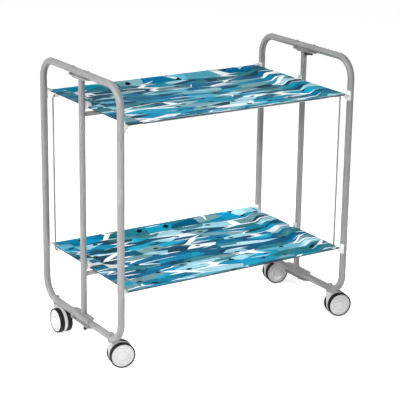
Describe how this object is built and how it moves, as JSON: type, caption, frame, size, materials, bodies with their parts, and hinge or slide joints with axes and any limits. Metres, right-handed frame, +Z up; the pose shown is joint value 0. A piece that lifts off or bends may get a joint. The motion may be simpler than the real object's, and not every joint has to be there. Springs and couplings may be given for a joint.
{
  "type": "folding serving trolley",
  "caption": "Folding serving trolley: trays that tilt on link rods between hinged end frames of bent tube, with central posts and castors.",
  "frame": {"origin": "centre of the bounding box on the floor", "axes": "+X along the trays' length, towards the right end of the picture; +Y across the trays, away from the viewer; +Z up"},
  "size_m": [0.7536, 0.417, 0.728],
  "materials": {
    "frame_lacquer": "satin silver grey lacquer on steel tube",
    "tray_laminate": "glossy moulded tray with a printed pattern of blues, greys and white",
    "rest_plastic": "pale grey moulded plastic",
    "steel_wire": "drawn steel wire",
    "castor_plastic": "pale grey moulded plastic",
    "tyre_rubber": "black",
    "pivot_steel": "plated steel"
  },
  "bodies": {
    "posts": {"post_left": "frame_lacquer", "top_bracket_left": "frame_lacquer", "bottom_bracket_left": "frame_lacquer", "hinge_pin_top_left_front": "pivot_steel", "hinge_pin_bottom_left_front": "pivot_steel", "hinge_pin_top_left_rear": "pivot_steel", "hinge_pin_bottom_left_rear": "pivot_steel", "post_right": "frame_lacquer", "top_bracket_right": "frame_lacquer", "bottom_bracket_right": "frame_lacquer", "hinge_pin_top_right_front": "pivot_steel", "hinge_pin_bottom_right_front": "pivot_steel", "hinge_pin_top_right_rear": "pivot_steel", "hinge_pin_bottom_right_rear": "pivot_steel"},
    "tray_upper_body": {"tray_upper": "tray_laminate", "carrier_tube_upper": "frame_lacquer", "pivot_block_upper_left": "rest_plastic", "rod_lug_upper_left": "rest_plastic", "pivot_block_upper_right": "rest_plastic", "rod_lug_upper_right": "rest_plastic"},
    "tray_lower_body": {"tray_lower": "tray_laminate", "carrier_tube_lower": "frame_lacquer", "pivot_block_lower_left": "rest_plastic", "rod_lug_lower_left": "rest_plastic", "pivot_block_lower_right": "rest_plastic", "rod_lug_lower_right": "rest_plastic"},
    "rod_left": {"link_rod_left_rear": "steel_wire"},
    "rod_right": {"link_rod_right_front": "steel_wire"},
    "half_left_front": {"half_frame_left_front": "frame_lacquer", "corner_rest_upper_left_front": "rest_plastic", "corner_rest_lower_left_front": "rest_plastic"},
    "castor_left_front": {"castor_left_front_housing": "castor_plastic"},
    "wheel_left_front_front": {"castor_left_front_rim_front": "castor_plastic", "castor_left_front_tyre_front": "tyre_rubber"},
    "wheel_left_front_rear": {"castor_left_front_rim_rear": "castor_plastic", "castor_left_front_tyre_rear": "tyre_rubber"},
    "half_left_rear": {"half_frame_left_rear": "frame_lacquer", "corner_rest_upper_left_rear": "rest_plastic", "corner_rest_lower_left_rear": "rest_plastic"},
    "castor_left_rear": {"castor_left_rear_housing": "castor_plastic"},
    "wheel_left_rear_front": {"castor_left_rear_rim_front": "castor_plastic", "castor_left_rear_tyre_front": "tyre_rubber"},
    "wheel_left_rear_rear": {"castor_left_rear_rim_rear": "castor_plastic", "castor_left_rear_tyre_rear": "tyre_rubber"},
    "half_right_front": {"half_frame_right_front": "frame_lacquer", "corner_rest_upper_right_front": "rest_plastic", "corner_rest_lower_right_front": "rest_plastic"},
    "castor_right_front": {"castor_right_front_housing": "castor_plastic"},
    "wheel_right_front_front": {"castor_right_front_rim_front": "castor_plastic", "castor_right_front_tyre_front": "tyre_rubber"},
    "wheel_right_front_rear": {"castor_right_front_rim_rear": "castor_plastic", "castor_right_front_tyre_rear": "tyre_rubber"},
    "half_right_rear": {"half_frame_right_rear": "frame_lacquer", "corner_rest_upper_right_rear": "rest_plastic", "corner_rest_lower_right_rear": "rest_plastic"},
    "castor_right_rear": {"castor_right_rear_housing": "castor_plastic"},
    "wheel_right_rear_front": {"castor_right_rear_rim_front": "castor_plastic", "castor_right_rear_tyre_front": "tyre_rubber"},
    "wheel_right_rear_rear": {"castor_right_rear_rim_rear": "castor_plastic", "castor_right_rear_tyre_rear": "tyre_rubber"}
  },
  "joints": [
    {"name": "tilt_upper", "type": "hinge", "parent": "posts", "child": "tray_upper_body", "pos_m": [-0.02153, 0, 0.6295], "axis": [-1, 0, 0], "range_deg": [0, 80]},
    {"name": "tilt_lower", "type": "hinge", "parent": "posts", "child": "tray_lower_body", "pos_m": [-0.02153, 0, 0.2145], "axis": [-1, 0, 0], "range_deg": [0, 80]},
    {"name": "rod_swing_left", "type": "hinge", "parent": "tray_upper_body", "child": "rod_left", "pos_m": [-0.34578, 0.175, 0.622], "axis": [-1, 0, 0], "range_deg": [-80, 0]},
    {"name": "rod_swing_right", "type": "hinge", "parent": "tray_upper_body", "child": "rod_right", "pos_m": [0.30272, -0.175, 0.622], "axis": [-1, 0, 0], "range_deg": [-80, 0]},
    {"name": "fold_left_front", "type": "hinge", "parent": "posts", "child": "half_left_front", "pos_m": [-0.35953, -0.038, 0.3985], "axis": [0, 0, 1], "range_deg": [0, 2]},
    {"name": "swivel_left_front", "type": "hinge", "parent": "half_left_front", "child": "castor_left_front", "pos_m": [-0.35953, -0.147, 0.068], "axis": [0, 0, 1], "continuous": true},
    {"name": "roll_left_front_front", "type": "hinge", "parent": "castor_left_front", "child": "wheel_left_front_front", "pos_m": [-0.3341, -0.15241, 0.0325], "axis": [0.2079, 0.9781, 0], "continuous": true},
    {"name": "roll_left_front_rear", "type": "hinge", "parent": "castor_left_front", "child": "wheel_left_front_rear", "pos_m": [-0.3341, -0.15241, 0.0325], "axis": [0.2079, 0.9781, 0], "continuous": true},
    {"name": "fold_left_rear", "type": "hinge", "parent": "posts", "child": "half_left_rear", "pos_m": [-0.35953, 0.038, 0.3985], "axis": [0, 0, -1], "range_deg": [0, 2]},
    {"name": "swivel_left_rear", "type": "hinge", "parent": "half_left_rear", "child": "castor_left_rear", "pos_m": [-0.35953, 0.147, 0.068], "axis": [0, 0, 1], "continuous": true},
    {"name": "roll_left_rear_front", "type": "hinge", "parent": "castor_left_rear", "child": "wheel_left_rear_front", "pos_m": [-0.35953, 0.121, 0.0325], "axis": [1, 0, 0], "continuous": true},
    {"name": "roll_left_rear_rear", "type": "hinge", "parent": "castor_left_rear", "child": "wheel_left_rear_rear", "pos_m": [-0.35953, 0.121, 0.0325], "axis": [1, 0, 0], "continuous": true},
    {"name": "fold_right_front", "type": "hinge", "parent": "posts", "child": "half_right_front", "pos_m": [0.31647, -0.038, 0.3985], "axis": [0, 0, -1], "range_deg": [0, 2]},
    {"name": "swivel_right_front", "type": "hinge", "parent": "half_right_front", "child": "castor_right_front", "pos_m": [0.31647, -0.147, 0.068], "axis": [0, 0, 1], "continuous": true},
    {"name": "roll_right_front_front", "type": "hinge", "parent": "castor_right_front", "child": "wheel_right_front_front", "pos_m": [0.3419, -0.15241, 0.0325], "axis": [0.2079, 0.9781, 0], "continuous": true},
    {"name": "roll_right_front_rear", "type": "hinge", "parent": "castor_right_front", "child": "wheel_right_front_rear", "pos_m": [0.3419, -0.15241, 0.0325], "axis": [0.2079, 0.9781, 0], "continuous": true},
    {"name": "fold_right_rear", "type": "hinge", "parent": "posts", "child": "half_right_rear", "pos_m": [0.31647, 0.038, 0.3985], "axis": [0, 0, 1], "range_deg": [0, 2]},
    {"name": "swivel_right_rear", "type": "hinge", "parent": "half_right_rear", "child": "castor_right_rear", "pos_m": [0.31647, 0.147, 0.068], "axis": [0, 0, 1], "continuous": true},
    {"name": "roll_right_rear_front", "type": "hinge", "parent": "castor_right_rear", "child": "wheel_right_rear_front", "pos_m": [0.3419, 0.14159, 0.0325], "axis": [0.2079, 0.9781, 0], "continuous": true},
    {"name": "roll_right_rear_rear", "type": "hinge", "parent": "castor_right_rear", "child": "wheel_right_rear_rear", "pos_m": [0.3419, 0.14159, 0.0325], "axis": [0.2079, 0.9781, 0], "continuous": true}
  ],
  "couplings": [
    {"joint": "tilt_lower", "follows": "tilt_upper", "ratio": 1},
    {"joint": "rod_swing_left", "follows": "tilt_upper", "ratio": -1},
    {"joint": "rod_swing_right", "follows": "tilt_upper", "ratio": -1}
  ]
}
